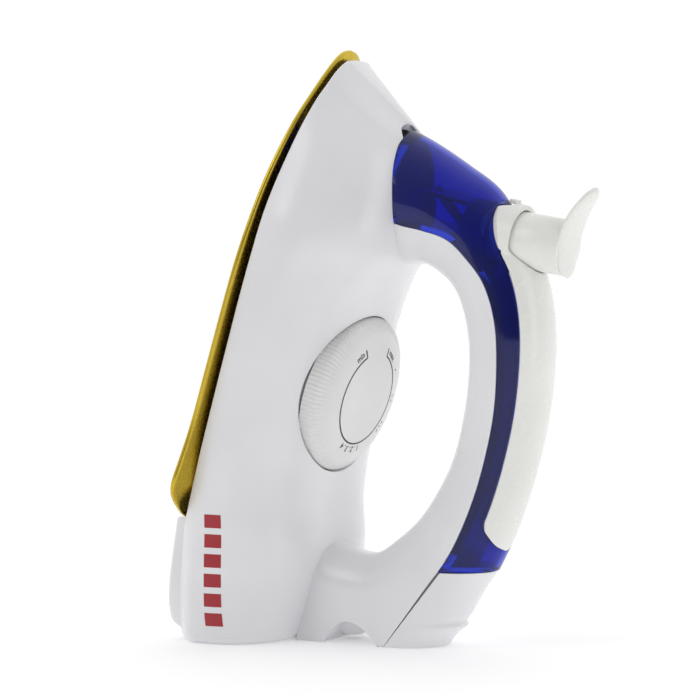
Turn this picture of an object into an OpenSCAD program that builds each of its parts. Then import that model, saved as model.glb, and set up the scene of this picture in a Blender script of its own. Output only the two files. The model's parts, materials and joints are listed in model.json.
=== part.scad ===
// Small iron with a spray pump, standing on its heel.
// The parts are drawn upright: X is the height above the sole's face, Z runs along the sole
// from the heel to the nose. stand() then leans them back. Z = 0 is the table.

/* [Stance] */
// Lean of the sole from the vertical when the iron stands on its heel
lean = 16.5; // [16:0.1:17]

/* [Sole] */
// Thickness of the sole's bright rim
rim_t = 2.4; // [2:0.1:3]
// Height of the thick middle of the sole, which holds the element
sole_core_h = 6; // [5:0.1:7]
// Radius of the tubular heating element
element_r = 3.2; // [2.5:0.1:3.5]

/* [Body] */
// Gap between the sole's face and the skirt's edge
skirt_h = 6.5; // [6:0.1:8]
// Wall of the plastic mouldings
wall = 2.5; // [2:0.1:3]
// Height of the heat shield above the sole's face
shield_h = 17; // [16:0.5:18]

/* [Dial] */
// Radius of the dial
dial_r = 34.5; // [33:0.5:35]
// Place of the dial along the sole
dial_a = 64; // [62:0.5:66]
// Height of the dial's lower edge above the sole's face
dial_base = 39.4; // [39.4:0.1:40]
// Height of the dial from its lower edge to its face
dial_h = 12.8; // [12:0.1:14]
// Radius of the dial's shaft
shaft_r = 3; // [2.5:0.1:3.5]

/* [Pump] */
// Tilt of the pump towards the nose
pump_tilt = 7; // [6:0.5:8]
// Radius of the plunger's skirt
plunger_r = 11.75; // [11.5:0.05:12]
// Radius of the piston
piston_r = 4.5; // [4:0.1:5]

/* [Heel] */
// Radius of the cord's ball
ball_r = 11.5; // [11:0.1:11.5]
// Radius of the hole for the cord
cord_r = 3.6; // [3:0.1:4]
// Half width of the heel
heel_w = 18; // [17.5:0.1:18.5]

/* [Hidden] */
$fn = 48;

gap = 0.3;         // clearance between mouldings
run = 0.05;        // clearance of a shaft in its bore
stand_x = -85.3;   // place of the sole's zero line in the standing iron
stand_z = 57;
heel_x = -26.1;    // the heel's own zero, straight under the handle
cap_top = 33;      // height of the rear cap's upper edge above the table

gold = "goldenrod";
white = "white";
blue = "mediumblue";
steel = "silver";
ceramic = "ivory";
copper = "peru";

// Half width of the sole at places along it
sole_w = [[-11, 0], [-9, 20], [-4.7, 38], [0.9, 47.8], [7.1, 54.6], [13, 56.5], [22, 55.2],
  [39, 52.8], [63, 52], [87, 51.3], [111, 50.1], [132, 46.8], [150, 42], [172, 31.9],
  [189, 19.4], [202, 7], [205, 0]];
// Half width of the skirt's edge
skirt_w = [[-56, 41], [-40, 45], [-20, 46.5], [-5, 46.8], [10, 47.8], [30, 48.7], [89, 48.7],
  [113, 47.9], [136, 45.6], [158, 38.9], [178, 29.8], [195, 17], [201.5, 6], [203, 0.4]];
// Bulge of the side above the skirt's edge
side_bulge = [[-56, 7], [-20, 4.8], [0, 3.6], [30, 2.4], [100, 1.6], [203, 0.2]];
// Shift along the sole from the skirt's edge to the top of the same section
top_shift = [[-56, 12.7], [-20, 5.6], [20, 0], [98, 0], [136, -2.5], [158, -7], [178, -13],
  [195, -19], [203, -21.5]];
// Height of the closed top above the sole's face, along the top line
top_h = [[-42.3, 57.5], [-14, 58.3], [-2, 57], [14, 50], [35, 46], [64, 44], [98, 44.5],
  [118, 49.5], [130, 56], [151, 55.5], [165, 51.5], [175, 47], [181.5, 44]];
// Fullness of the section along the top line
fullness = [[-42, 4], [0, 3.5], [14, 3], [35, 2.7], [98, 2.4], [118, 2.2], [151, 2],
  [175, 1.8], [181.5, 1.6]];
// Handle stations from the front root to the heel: inner h, inner a, outer h, outer a, half width
handle = [[46, 126, 38, 181, 20], [57, 126, 52, 178.5, 20], [64, 128.3, 68, 173, 19],
  [72.6, 126.5, 85, 165.5, 18], [79.5, 123.3, 101, 155.5, 17.2], [85.5, 117.5, 114.5, 143.5, 17],
  [91.5, 107.5, 124.5, 127, 17], [96.3, 94.5, 131, 107, 17], [99.6, 77, 135.3, 82, 17],
  [100.6, 56, 136.3, 55.5, 17], [97.5, 39, 135, 33, 17], [91.5, 22.5, 131.5, 13, 17.3],
  [83, 10.5, 127.5, -1, 18]];
// Seam between the inner half and the tank, from the section's middle
seam_x = [[0, -10], [1, -9.2], [2, -7.4], [3, -4], [4, -1.6], [5, -0.2], [6, 0.7], [7, 1.1],
  [8, 2], [9, 2.4], [10, 3.4], [11, 4.8], [12, 6.2]];
// Half angle of the grip cover at the stations
cover_angle = [[3.3, 4], [3.4, 22], [3.6, 37.5], [4.1, 50], [4.8, 54], [9.9, 55], [10.1, 51],
  [10.2, 43], [10.34, 26], [10.42, 4]];
grip_from = 3.3;
grip_to = 10.42;
// Rear cap in the standing iron: height above the table and its outer end
cap_out = [[0, 47.5], [3.4, 49.6], [6.5, 53.1], [8.8, 56], [11, 55.6], [14, 57.9], [24.6, 64.2],
  [cap_top, 70.2]];
cap_in = [[0, 26.4], [cap_top, 53.1]];
// Outline of the heel in the plane of symmetry
heel_side = [[84.4, 13], [76, 5], [69, 2.8], [60, 4], [48, 4], [48, -45.2], [67.3, -39.5],
  [97.4, -30.6], [111.4, 5.4]];

// Places of the body's sections along the skirt's edge
body_e = [-56, -45, -35, -24, -14, -6, 2, 10, 20, 34, 50, 64, 78, 92, 104, 114, 122, 130, 138,
  147, 156, 165, 174, 182, 189, 195, 199, 201.6, 202.9];

element_h = sole_core_h + element_r + 0.1;  // height of the heating element's middle
element_y = 24;        // half the width of the element's hairpin
element_front = 138;   // place of the hairpin's bend along the sole
element_back = 4;      // place of the element's ends
posts = [[24, 34], [24, -34], [116, 33], [116, -33]];  // places of the shield's posts
bridge_h = 24;         // height of the bridge that carries the spindle's bush
lead_a = -4.25;        // place of the leads along the sole
dial_seat = dial_base - 0.6;
cover_screw_a = -26;   // place of the screws in the block behind the sole
screw_a = -16;         // place of the screws that hold the heel
socket_w = 30;         // width of the block that holds the cord's ball
swivel_x = heel_x + 2;
swivel_z = ball_r + 1.2;

// Places along the pump's axis are measured from where the plunger meets its thumb pad
pump_at = [122, 153.3];
skirt_end = -31;       // inner end of the plunger's skirt
cup_floor = -40;       // floor of the cup that the skirt slides into
cup_r = plunger_r + 1.6;
barrel_end = -45;      // inner end of the pump's barrel
barrel_top = -14;
piston_at = -25;       // outer face of the piston at rest
nozzle_at = -24.5;
dip_top = [75.7, 0, 148.8];
dip_end = [59, 0, 160];

// Curl and half width of the thumb pad from its foot to its tip
pad_mid = [[0, 2.8], [0.12, 1.6], [0.3, 0.9], [0.5, 1.1], [0.7, 3], [0.88, 6.6], [1, 9.4]];
pad_half = [[0, 0.5], [0.04, 4.2], [0.15, 8], [0.35, 10.2], [0.6, 9.8], [0.85, 7.2], [0.96, 4],
  [1, 0.5]];

// Slope of a table's curve at one of its rows
function slope(t, i) = let (lo = max(i - 1, 0), hi = min(i + 1, len(t) - 1))
  (t[hi][1] - t[lo][1]) / (t[hi][0] - t[lo][0]);
// Smooth value of a table at x
function at(t, x, i = 0) = i < len(t) - 2 && x > t[i + 1][0] ? at(t, x, i + 1)
  : let (w = t[i + 1][0] - t[i][0], f = max(0, min(1, (x - t[i][0]) / w)), g = f * f,
         b = f * g, ends = (2 * b - 3 * g + 1) * t[i][1] + (3 * g - 2 * b) * t[i + 1][1])
    ends + w * ((b - 2 * g + f) * slope(t, i) + (b - g) * slope(t, i + 1));
// Smooth row of a table at the fractional row number k
function row(t, k) = let (n = len(t) - 1, i = min(floor(max(k, 0)), n - 1),
    f = max(0, min(k, n)) - i, b = t[i], c = t[i + 1],
    a = i > 0 ? t[i - 1] : 2 * b - c, d = i + 2 <= n ? t[i + 2] : 2 * c - b)
  0.5 * (2 * b + f * (c - a) + f * f * (2 * a - 5 * b + 4 * c - d)
         + f * f * f * (3 * b - a - 3 * c + d));

// Skirt's edge height: level along the sole, rising behind it
function edge_h(e) = e > -6 ? skirt_h : skirt_h + (-6 - e) * 0.2;
// Height of the top over the section that starts at e, and the section's fullness
function top_a(e) = e + at(top_shift, e);
// Half of the body's section at e, from the edge to the top, inset by t
function half_section(e, t, steps = 9) =
  let (h0 = edge_h(e), hc = h0 + 10, w0 = max(at(skirt_w, e) - t, 0.2),
       w1 = w0 + at(side_bulge, e), ta = top_a(e), h1 = at(top_h, ta) - t, p = at(fullness, ta))
  [for (s = [0:2]) let (f = 1 - s / 3, h = h0 + (hc - h0) * (1 - f)) [h, w1 - (w1 - w0) * f * f],
   for (s = [0:steps]) let (v = 90 * s / steps,
       r = 1 / pow(pow(cos(v), p) + pow(sin(v), p), 1 / p))
     [hc + (h1 - hc) * sin(v) * r, w1 * cos(v) * r]];
// Whole section as points in space; low lets it start below the edge
function body_ring(e, t, low = 0) =
  let (half = half_section(e, t), h0 = edge_h(e), ta = top_a(e), h1 = at(top_h, ta),
       place = function (q, side) [q[0], side * q[1], e + (ta - e) * (q[0] - h0) / (h1 - h0)])
  [if (low > 0) place([h0 - low, half[0][1]], -1),
   for (q = half) place(q, -1),
   for (i = [len(half) - 2:-1:0]) place(half[i], 1),
   if (low > 0) place([h0 - low, half[0][1]], 1)];

// Solid through rings of points
module skin(rings) {
  n = len(rings[0]);
  m = len(rings);
  sides = [for (j = [0:m - 2], i = [0:n - 1]) let (k = (i + 1) % n)
    each [[j * n + i, (j + 1) * n + i, j * n + k], [j * n + k, (j + 1) * n + i, (j + 1) * n + k]]];
  caps = [[for (i = [0:n - 1]) i], [for (i = [n - 1:-1:0]) (m - 1) * n + i]];
  polyhedron([for (r = rings) each r], concat(sides, caps), convexity = 8);
}

// One smooth moulding as a single solid
module moulding() {
  minkowski() children();
}

module stand() {
  translate([stand_x, 0, stand_z]) rotate([0, lean, 0]) children();
}

// Flat outline in the sole's plane, drawn as half width and place, raised by h
module plate(h) {
  rotate([90, 0, 90]) linear_extrude(h) children();
}

// Outline in the plane of symmetry, w wide
module side_plate(w) {
  rotate([90, 0, 0]) linear_extrude(w, center = true) children();
}

// Round bar along the height above the sole, at a place along and across it
module post(r, h, a, y = 0) {
  translate([0, y, a]) rotate([0, 90, 0]) cylinder(r = r, h = h);
}

module mirrored() {
  children();
  mirror([0, 1, 0]) children();
}

// Outside of the body, grown by t
module body_outside(t = 0) {
  skin([for (e = body_e) body_ring(e, -t)]);
}

module body_inside() {
  skin([for (e = concat([-51.8], body_e)) if (e > -52 && e < 200) body_ring(e, wall, 4)]);
}

// Outline of the sole, inset by t
module sole_outline(t) {
  places = [for (s = [0:28]) let (f = s / 28) -11 + t + (216 - 2.2 * t) * (1 - cos(180 * f)) / 2];
  half = [for (a = places) [max(at(sole_w, a) - t, 0), a]];
  polygon(concat([for (q = half) q], [for (i = [len(half) - 2:-1:1]) [-half[i][0], half[i][1]]]));
}

module soleplate() {
  color(gold) stand() difference() {
    union() {
      plate(rim_t) sole_outline(0);
      plate(sole_core_h) sole_outline(9);
    }
    for (q = posts) translate([rim_t, q[1], q[0]]) rotate([0, 90, 0]) cylinder(r = 1.6, h = 10);
  }
}

module heating_element() {
  color(steel) stand() {
    mirrored() translate([element_h, element_y, element_back])
      cylinder(r = element_r, h = element_front - element_back);
    translate([element_h, 0, element_front]) rotate([0, 90, 0]) rotate([0, 0, 90])
      rotate_extrude(angle = 180) translate([element_y, 0]) circle(element_r);
  }
}

module element_pins() {
  color(steel) stand() mirrored() translate([element_h, element_y, element_back - 8])
    cylinder(r = 1.4, h = 7.9);
}

module heat_shield() {
  color(steel) stand() difference() {
    translate([shield_h, 0, 0]) plate(0.8) intersection() {
      sole_outline(13);
      translate([-60, 10]) square([120, 150]);
    }
    post(20, 40, dial_a);
    for (q = posts) translate([0, q[1], q[0]]) rotate([0, 90, 0]) cylinder(r = 2.3, h = 40);
  }
}

module shield_posts() {
  color(steel) stand() for (q = posts) {
    translate([sole_core_h + 0.05, 0, 0]) post(3.2, shield_h - sole_core_h - 0.1, q[0], q[1]);
    translate([shield_h - 0.1, 0, 0]) post(2, 1.9, q[0], q[1]);
    translate([shield_h + 1, 0, 0]) post(3.4, 1.2, q[0], q[1]);
  }
}

module thermostat_bridge() {
  color(steel) stand() difference() {
    union() {
      translate([sole_core_h + 0.1, -13, dial_a - 14]) cube([bridge_h - sole_core_h, 1.2, 12]);
      translate([sole_core_h + 0.1, 11.8, dial_a - 14]) cube([bridge_h - sole_core_h, 1.2, 12]);
      translate([bridge_h - 1.2, -13, dial_a - 14]) cube([1.3, 26, 12]);
      translate([bridge_h - 1.2, -6, dial_a - 14]) cube([1.3, 12, 20]);
      translate([bridge_h - 6, 0, 0]) post(5, 12, dial_a);
    }
    post(shaft_r + run, 60, dial_a);
  }
}

module thermostat_stack() {
  color(ceramic) stand() for (s = [0:2]) translate([sole_core_h + 0.2 + s * 4.1, 0, 0])
    post(4.6 - 0.4 * s, 3.2, dial_a - 8);
}

module contact_blades() {
  color(copper) stand() for (s = [0:1])
    translate([sole_core_h + 3.5 + s * 4.1, -2.5, dial_a - 12]) cube([0.6, 5, 30 - 4 * s]);
}

module thermal_fuse() {
  color(ceramic) stand() translate([element_h, 9, 20]) cylinder(r = 2.4, h = 22);
}

module body_shell() {
  color(white) difference() {
    moulding() intersection() {
      stand() difference() {
        body_outside();
        difference() {
          body_inside();
          translate([dial_seat - wall, 0, 0]) post(dial_r + 0.8 + wall, 30, dial_a);
        }
        translate([dial_seat, 0, 0]) post(dial_r + 0.8, 30, dial_a);
        translate([40, -8, 134]) cube([40, 16, 26]);
        translate([50, -14, -9]) cube([20, 28, 9]);
        mirrored() post(1.8, 70, screw_a, 12);
      }
      above(0);
    }
    stand() post(shaft_r + 1, 60, dial_a);
  }
}

// Block that closes the body behind the sole
module rear_underside_cover() {
  color(white) stand() difference() {
    union() {
      moulding() difference() {
        side_plate(70) polygon([[0.5, -13.5], [5, -36], [8.5, -48], [17, -50.5], [40, -43.5],
          [40, -37], [16, -37], [15, -13.5]]);
        side_plate(64) polygon([[3, -15.5], [8, -37], [12, -46], [18, -47.5], [34, -43],
          [34, -39.5], [20, -39.5], [20, -15.5]]);
      }
      mirrored() translate([4, 0, 0]) post(5, 9.5, cover_screw_a, 22);
    }
    mirrored() post(1.7, 60, cover_screw_a, 22);
    mirrored() post(3.3, 7, cover_screw_a, 22);
  }
}

module cover_screws() {
  color(steel) stand() mirrored() {
    translate([5.2, 0, 0]) post(3, 1.8, cover_screw_a, 22);
    translate([6.9, 0, 0]) post(1.6, 14, cover_screw_a, 22);
  }
}

module dial_shaft() {
  color(steel) stand() difference() {
    translate([bridge_h - 5, 0, 0]) post(shaft_r, dial_base + 8 - bridge_h + 5, dial_a);
    translate([bridge_h - 6, -0.4, dial_a - 5]) cube([3, 0.8, 10]);
  }
}

// Ribbed rim, domed face and hub
module dial_knob() {
  face = dial_base + dial_h;
  color(white) stand() translate([0, 0, dial_a]) rotate([0, 90, 0]) difference() {
    rotate_extrude($fn = 96) polygon([[shaft_r + 0.02, dial_base + 2], [6, dial_base + 2],
      [6, face - 4.2], [18, face - 4.6], [dial_r - 2.4, face - 8.6], [dial_r - 2.4, dial_base],
      [dial_r, dial_base], [dial_r, face - 6.6], [dial_r - 1.2, face - 5.2], [28, face - 2.6],
      [20, face - 0.8], [10, face - 0.1], [0, face], [0, dial_base + 8.1],
      [shaft_r + 0.02, dial_base + 8.1]]);
    for (v = [0:4:359]) rotate([0, 0, v]) translate([dial_r + 0.25, 0, dial_base - 1])
      cylinder(r = 0.75, h = dial_h - 7, $fn = 6);
  }
}

// Point of the handle at station k, x from the section's middle, y across
function on_handle(k, x, y) = let (s = row(handle, k), c = [s[0] + s[2], s[1] + s[3]] / 2,
    d = [s[2] - s[0], s[3] - s[1]], e = d / norm(d)) [c[0] + e[0] * x, y, c[1] + e[1] * x];
function depth(k) = let (s = row(handle, k)) norm([s[2] - s[0], s[3] - s[1]]) / 2;
function width(k) = row(handle, k)[4];
// Ring between two x places of the section at k, inset by t
function handle_ring(k, x0, x1, t, steps = 6) =
  let (p = depth(k) - t, q = width(k) - t, v0 = acos(max(-1, min(1, x0 / p))),
       v1 = acos(max(-1, min(1, x1 / p))))
  [for (s = [0:steps]) let (v = v0 + (v1 - v0) * s / steps) on_handle(k, p * cos(v), q * sin(v)),
   for (s = [steps:-1:0]) let (v = v0 + (v1 - v0) * s / steps)
     on_handle(k, p * cos(v), -q * sin(v))];

module inner_half(t, over, first = 0.2) {
  skin([for (k = [first:0.4:12.01]) handle_ring(k, -(depth(k) - t) * 0.998, at(seam_x, k) + over, t)]);
}

module tank_half(t, under, lid) {
  skin([for (k = concat([for (i = [0.2:0.45:3.3]) i], [3.36, 3.5, 3.7, 4.1], [for (i = [4.6:0.5:9.8]) i],
    [10, 10.2, 10.34, 10.44, 11, 12])) let (top = k > grip_from && k < grip_to
      ? depth(k) * cos(at(cover_angle, k)) - gap - 0.2 : depth(k) - t)
    handle_ring(k, at(seam_x, k) + under, min(top - lid, (depth(k) - t) * 0.998), t)]);
}

// Everything in the standing iron that is above a height over the table
module above(z) {
  translate([-150, -60, z]) cube([300, 120, 300]);
}

// Arched groove across the heel's foot for the cord
module foot_groove() {
  translate([heel_x, 0, 0]) rotate([90, 0, 0]) linear_extrude(80, center = true)
    polygon([[-3.7, -1], [-1, 4.5], [3.5, 8.6], [8.4, 9.8], [13.5, 8.8], [19, 5.6], [23.8, -1]]);
}

// The white inner half of the handle and the heel
module handle_inner() {
  color(white) moulding() difference() {
    intersection() {
      stand() difference() {
        union() {
          inner_half(0, -gap / 2);
          side_plate(2 * heel_w) polygon(heel_side);
        }
        inner_half(wall, 5.3, 0.05);
        side_plate(2 * heel_w - 2 * wall) polygon([[80, 8], [76, 1.5], [64, 0], [64, -8.5],
          [74, -9], [94, -9], [103, -8], [106, -1], [94, 9]]);
        translate([50, -14, -8]) cube([16, 28, 7]);
        mirrored() post(1.6, 66.5, screw_a, 12);
        side_plate(socket_w + 2 * gap) polygon([[57, -10.2], [57, -50], [88, -50], [88, -10.2]]);
        translate([64, -6, -12]) cube([14, 12, 5]);
        body_outside(gap);
      }
      above(0);
    }
    foot_groove();
  }
}

// Block in the heel's foot that holds the cord's ball
module cord_socket() {
  color(white) difference() {
    intersection() {
      stand() side_plate(socket_w) polygon([[58.9, -10.5], [58.9, -50], [87.7, -50], [87.7, -10.5]]);
      above(0.3);
    }
    foot_groove();
    stand() mirrored() post(1.6, 66.5, screw_a, 12);
    translate([swivel_x, 0, swivel_z]) {
      sphere(ball_r + 0.5);
      cylinder(r = cord_r + 2, h = 40);
      rotate([90, 0, 0]) cylinder(r = shaft_r + run, h = 2 * socket_w, center = true);
    }
  }
}

module handle_screws() {
  color(steel) stand() mirrored() {
    translate([53, 0, 0]) post(3, 1.8, screw_a, 12);
    translate([54.7, 0, 0]) post(1.5, 11, screw_a, 12);
  }
}

// Moves children to the pump's axis: Z points outwards along it
module on_pump(w = 0) {
  translate([pump_at[0], 0, pump_at[1]]) rotate([0, 90 - pump_tilt, 0]) translate([0, 0, w])
    children();
}

module water_tank() {
  color(blue) intersection() {
    difference() {
      moulding() stand() difference() {
        tank_half(0, gap / 2, 0);
        tank_half(2.2, 2.4, 2.2);
        body_outside(gap);
      }
      stand() on_pump(cup_floor - 2.1) cylinder(r = cup_r + 0.15, h = 60);
      stand() on_pump(barrel_end - 0.3) cylinder(r = 6.8, h = 60);
      stand() on_pump(skirt_end + 0.7) cylinder(r = plunger_r + 2.6, h = 60);
    }
    above(cap_top + gap);
  }
}

module tank_baffle() {
  color(blue) stand() difference() {
    moulding() intersection() {
      tank_half(2.7, 3, 2.7);
      translate([60, -30, 158.5]) cube([60, 60, 1.6]);
    }
    on_pump(cup_floor - 3) cylinder(r = cup_r + 0.4, h = 60);
    rod(dip_top, 2 * dip_end - dip_top, 2.2);
  }
}

module grip_cover() {
  color(white) stand() difference() {
    union() {
      moulding() difference() {
        skin([for (k = [grip_from:0.178:grip_to + 0.01]) handle_ring(k,
          depth(k) * cos(at(cover_angle, k)), depth(k) * 0.998, 0, 6)]);
        skin([for (k = [grip_from + 0.5:0.178:grip_to - 0.4]) handle_ring(k,
          depth(k) * cos(at(cover_angle, k)) - 2, (depth(k) - 2) * 0.998, 2, 6)]);
      }
      on_pump(skirt_end + 1) cylinder(r = plunger_r + 2.3, h = 11);
    }
    on_pump(-70) cylinder(r = plunger_r + 0.35, h = 140);
    on_pump(cup_floor - 4) cylinder(r = cup_r + 0.15, h = skirt_end + 0.9 - cup_floor + 4);
    on_pump(nozzle_at) rotate([0, -90, 0]) cylinder(r = 0.5, h = 30);
  }
}

module rear_cap() {
  levels = [for (q = cap_out) q[0]];
  ring = function (z, t) let (x0 = at(cap_in, z) + gap, x1 = at(cap_out, z) - t,
      w = heel_w - 0.3 * z / cap_top - t)
    [for (s = [-9:9]) let (v = 90 * s / 9) [x0 + (x1 - x0) * cos(v), w * sin(v), z]];
  color(white) translate([heel_x, 0, 0]) moulding() difference() {
    skin([for (z = levels) ring(z, 0)]);
    skin([for (z = [wall, 12, 22, cap_top - wall]) [for (q = ring(z, wall)) q - [1, 0, 0]]]);
  }
}

module pump_cylinder() {
  color(ceramic) stand() on_pump() rotate_extrude() polygon([[1.2, barrel_end], [6.5, barrel_end],
    [6.5, cup_floor - 1.8], [cup_r, cup_floor - 1.8], [cup_r, skirt_end + 0.7],
    [plunger_r + 0.35, skirt_end + 0.7], [plunger_r + 0.35, cup_floor], [6.5, cup_floor],
    [6.5, barrel_top], [piston_r + run, barrel_top], [piston_r + run, barrel_end + 2],
    [1.2, barrel_end + 2]]);
}

module pump_piston() {
  color(ceramic) stand() on_pump(piston_at) rotate_extrude() polygon([[0, -6], [piston_r, -6],
    [piston_r, -4], [3.4, -4], [3.4, -2], [piston_r, -2], [piston_r, 0], [2.6, 0],
    [2.6, -5.1 - piston_at], [0, -5.1 - piston_at]]);
}

module pump_seal() {
  color("dimgray") stand() on_pump(piston_at - 3.95) difference() {
    cylinder(r = piston_r, h = 1.9);
    translate([0, 0, -1]) cylinder(r = 3.42, h = 5);
  }
}

// Coil of the return spring as a sleeve with the coil's outer size
module plunger_spring() {
  color(steel) stand() on_pump(cup_floor + 0.1) difference() {
    cylinder(r = 8.6, h = -5.2 - cup_floor - 0.1);
    translate([0, 0, -1]) cylinder(r = 7.2, h = 60);
  }
}

// Round cap with a leaf shaped thumb pad that curls outwards at its tip
module spray_plunger() {
  length = 39;
  ring = function (f) let (z = at(pad_mid, f), w = at(pad_half, f), s = 12.3 - length * f)
    [for (v = [0:30:359]) [s, -w * cos(v), z + 1.9 * sin(v)]];
  color(white) stand() on_pump() {
    rotate_extrude() polygon([[2.62, -12], [3.9, -12], [3.9, -5], [plunger_r - 1.8, -5],
      [plunger_r - 1.8, skirt_end], [plunger_r, skirt_end], [plunger_r, 1.2], [0, 1.2], [0, -5],
      [2.62, -5]]);
    skin([for (f = [0:0.1:1.001]) ring(f)]);
  }
}

module inlet_valve() {
  color(steel) stand() on_pump(barrel_end + 3.6) sphere(1.55);
}

// Straight round rod between two points
module rod(p, q, r) {
  d = q - p;
  translate(p) rotate([0, acos(d[2] / norm(d)), atan2(d[1], d[0])]) cylinder(r = r, h = norm(d));
}

module suction_tube() {
  color("whitesmoke") stand() difference() {
    rod(dip_top, dip_end, 2);
    rod(2 * dip_top - dip_end, 2 * dip_end - dip_top, 1);
  }
}

module spray_nozzle() {
  color(white) stand() on_pump(nozzle_at) rotate([0, -90, 0]) difference() {
    translate([0, 0, plunger_r + 2.4]) cylinder(r = 2.4, h = 1.8);
    cylinder(r = 0.5, h = 30);
  }
}

// Ball that swings with the cord, on two trunnions across the heel
module cord_swivel() {
  color(white) translate([swivel_x, 0, swivel_z]) difference() {
    union() {
      intersection() {
        sphere(ball_r);
        cube([40, 22, 40], center = true);
      }
      rotate([90, 0, 0]) cylinder(r = shaft_r, h = socket_w - 1, center = true);
    }
    translate([0, 0, -30]) cylinder(r = cord_r, h = 60);
  }
}

module cord_clamp() {
  color(ceramic) stand() difference() {
    translate([64.2, -10, -8.4]) cube([9, 20, 3]);
    translate([68.7, 0, -9]) cylinder(r = cord_r, h = 5);
  }
}

module terminal_block() {
  color(ceramic) stand() difference() {
    translate([74, -12, -8.2]) cube([20, 24, 5]);
    for (y = [-8, 0, 8]) post(1.6, 200, -5.7, y);
  }
}

module terminal_screws() {
  color(steel) stand() for (y = [-8, 0, 8], h = [78, 89]) translate([h, y, -3.1])
    cylinder(r = 1.8, h = 1.3);
}

// Two sleeved wires from the terminals down to the element's pins
module element_leads() {
  color("orange") stand() mirrored()
    rod([element_h + 2.6, element_y, lead_a], [73.5, 5.5, lead_a], 1);
}

soleplate();
heating_element();
element_pins();
heat_shield();
shield_posts();
thermostat_bridge();
thermostat_stack();
contact_blades();
thermal_fuse();
body_shell();
rear_underside_cover();
cover_screws();
dial_shaft();
dial_knob();
handle_inner();
handle_screws();
water_tank();
tank_baffle();
grip_cover();
rear_cap();
pump_cylinder();
pump_piston();
pump_seal();
plunger_spring();
spray_plunger();
inlet_valve();
suction_tube();
spray_nozzle();
cord_socket();
cord_swivel();
cord_clamp();
terminal_block();
terminal_screws();
element_leads();
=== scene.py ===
import json
import math

import bmesh
import bpy
import numpy as np
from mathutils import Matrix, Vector


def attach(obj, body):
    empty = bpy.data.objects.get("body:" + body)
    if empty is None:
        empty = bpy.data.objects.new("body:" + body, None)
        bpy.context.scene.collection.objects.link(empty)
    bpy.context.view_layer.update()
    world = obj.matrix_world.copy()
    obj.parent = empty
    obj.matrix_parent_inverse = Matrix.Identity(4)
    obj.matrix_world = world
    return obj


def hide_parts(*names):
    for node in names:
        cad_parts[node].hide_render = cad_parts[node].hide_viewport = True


# Small spray iron standing on its heel. Shapes are drawn in the iron's own millimetres: height above
# the sole's face, across, and along the sole from heel to nose. standUp() leans them back.

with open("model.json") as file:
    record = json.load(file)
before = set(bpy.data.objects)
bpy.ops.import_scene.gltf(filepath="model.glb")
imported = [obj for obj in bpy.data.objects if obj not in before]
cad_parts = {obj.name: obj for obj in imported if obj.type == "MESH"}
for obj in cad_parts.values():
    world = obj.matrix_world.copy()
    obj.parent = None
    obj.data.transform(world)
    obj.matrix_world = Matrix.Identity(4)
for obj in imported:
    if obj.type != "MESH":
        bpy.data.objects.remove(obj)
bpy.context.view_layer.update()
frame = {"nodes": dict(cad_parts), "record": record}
print("frame loaded,", len(frame["nodes"]), "nodes")

stance = {"lean": 16.5, "soleX": -85.3, "soleZ": 57.0, "heelX": -26.1}
leanCos, leanSin = math.cos(math.radians(stance["lean"])), math.sin(math.radians(stance["lean"]))


def standUp(points):
    # turn by the lean about the across axis, then a shift, and millimetres to metres
    h, y, a = points[..., 0], points[..., 1], points[..., 2]
    x = stance["soleX"] + h * leanCos + a * leanSin
    z = stance["soleZ"] - h * leanSin + a * leanCos
    return np.stack([x, y, z], -1) / 1000


def layDown(x, z):
    # the reverse of standUp in the plane of symmetry, all in millimetres
    dx, dz = x - stance["soleX"], z - stance["soleZ"]
    return dx * leanCos - dz * leanSin, dx * leanSin + dz * leanCos


def smoothTable(table, x):
    # cubic Hermite curve through the rows, each row's slope taken across its two neighbours
    t = np.asarray(table, float)
    xs, ys = t[:, 0], t[:, 1]
    last = len(xs) - 1
    lo, hi = np.maximum(np.arange(last + 1) - 1, 0), np.minimum(np.arange(last + 1) + 1, last)
    slope = (ys[hi] - ys[lo]) / (xs[hi] - xs[lo])
    i = np.clip(np.searchsorted(xs, x, side="right") - 1, 0, last - 1)
    w = xs[i + 1] - xs[i]
    f = np.clip((x - xs[i]) / w, 0, 1)
    g, b = f * f, f * f * f
    return ((2 * b - 3 * g + 1) * ys[i] + (3 * g - 2 * b) * ys[i + 1]
            + w * ((b - 2 * g + f) * slope[i] + (b - g) * slope[i + 1]))


def smoothRow(table, k):
    # Catmull-Rom spline through whole rows, at the fractional row number k
    t = np.asarray(table, float)
    padded = np.vstack([2 * t[0] - t[1], t, 2 * t[-1] - t[-2]])
    i = np.clip(np.floor(k).astype(int), 0, len(t) - 2)
    f = (np.clip(k, 0, len(t) - 1) - i)[..., None]
    a, b, c, d = padded[i], padded[i + 1], padded[i + 2], padded[i + 3]
    return 0.5 * (2 * b + f * (c - a) + f * f * (2 * a - 5 * b + 4 * c - d)
                  + f * f * f * (3 * b - a - 3 * c + d))


def easeStep(x, start, end):
    # 0 before start, 1 after end, and a smooth cubic between
    f = np.clip((x - start) / (end - start), 0, 1)
    return f * f * (3 - 2 * f)


def quarterDrop(part):
    # how far a unit quarter circle has dropped at this part of its run: one less the root of one less
    # the square
    return 1 - np.sqrt(1 - np.clip(part, 0, 1) ** 2)


def gridFaces(rows, columns, closeRows=False, closeColumns=False, first=0):
    # quads between neighbouring rows and columns of a grid, counted row by row
    r = np.arange(rows if closeRows else rows - 1)[:, None]
    c = np.arange(columns if closeColumns else columns - 1)[None, :]
    nextR, nextC = (r + 1) % rows, (c + 1) % columns
    quads = np.stack([r * columns + c, nextR * columns + c, nextR * columns + nextC, r * columns + nextC], -1)
    return quads.reshape(-1, 4) + first


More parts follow.
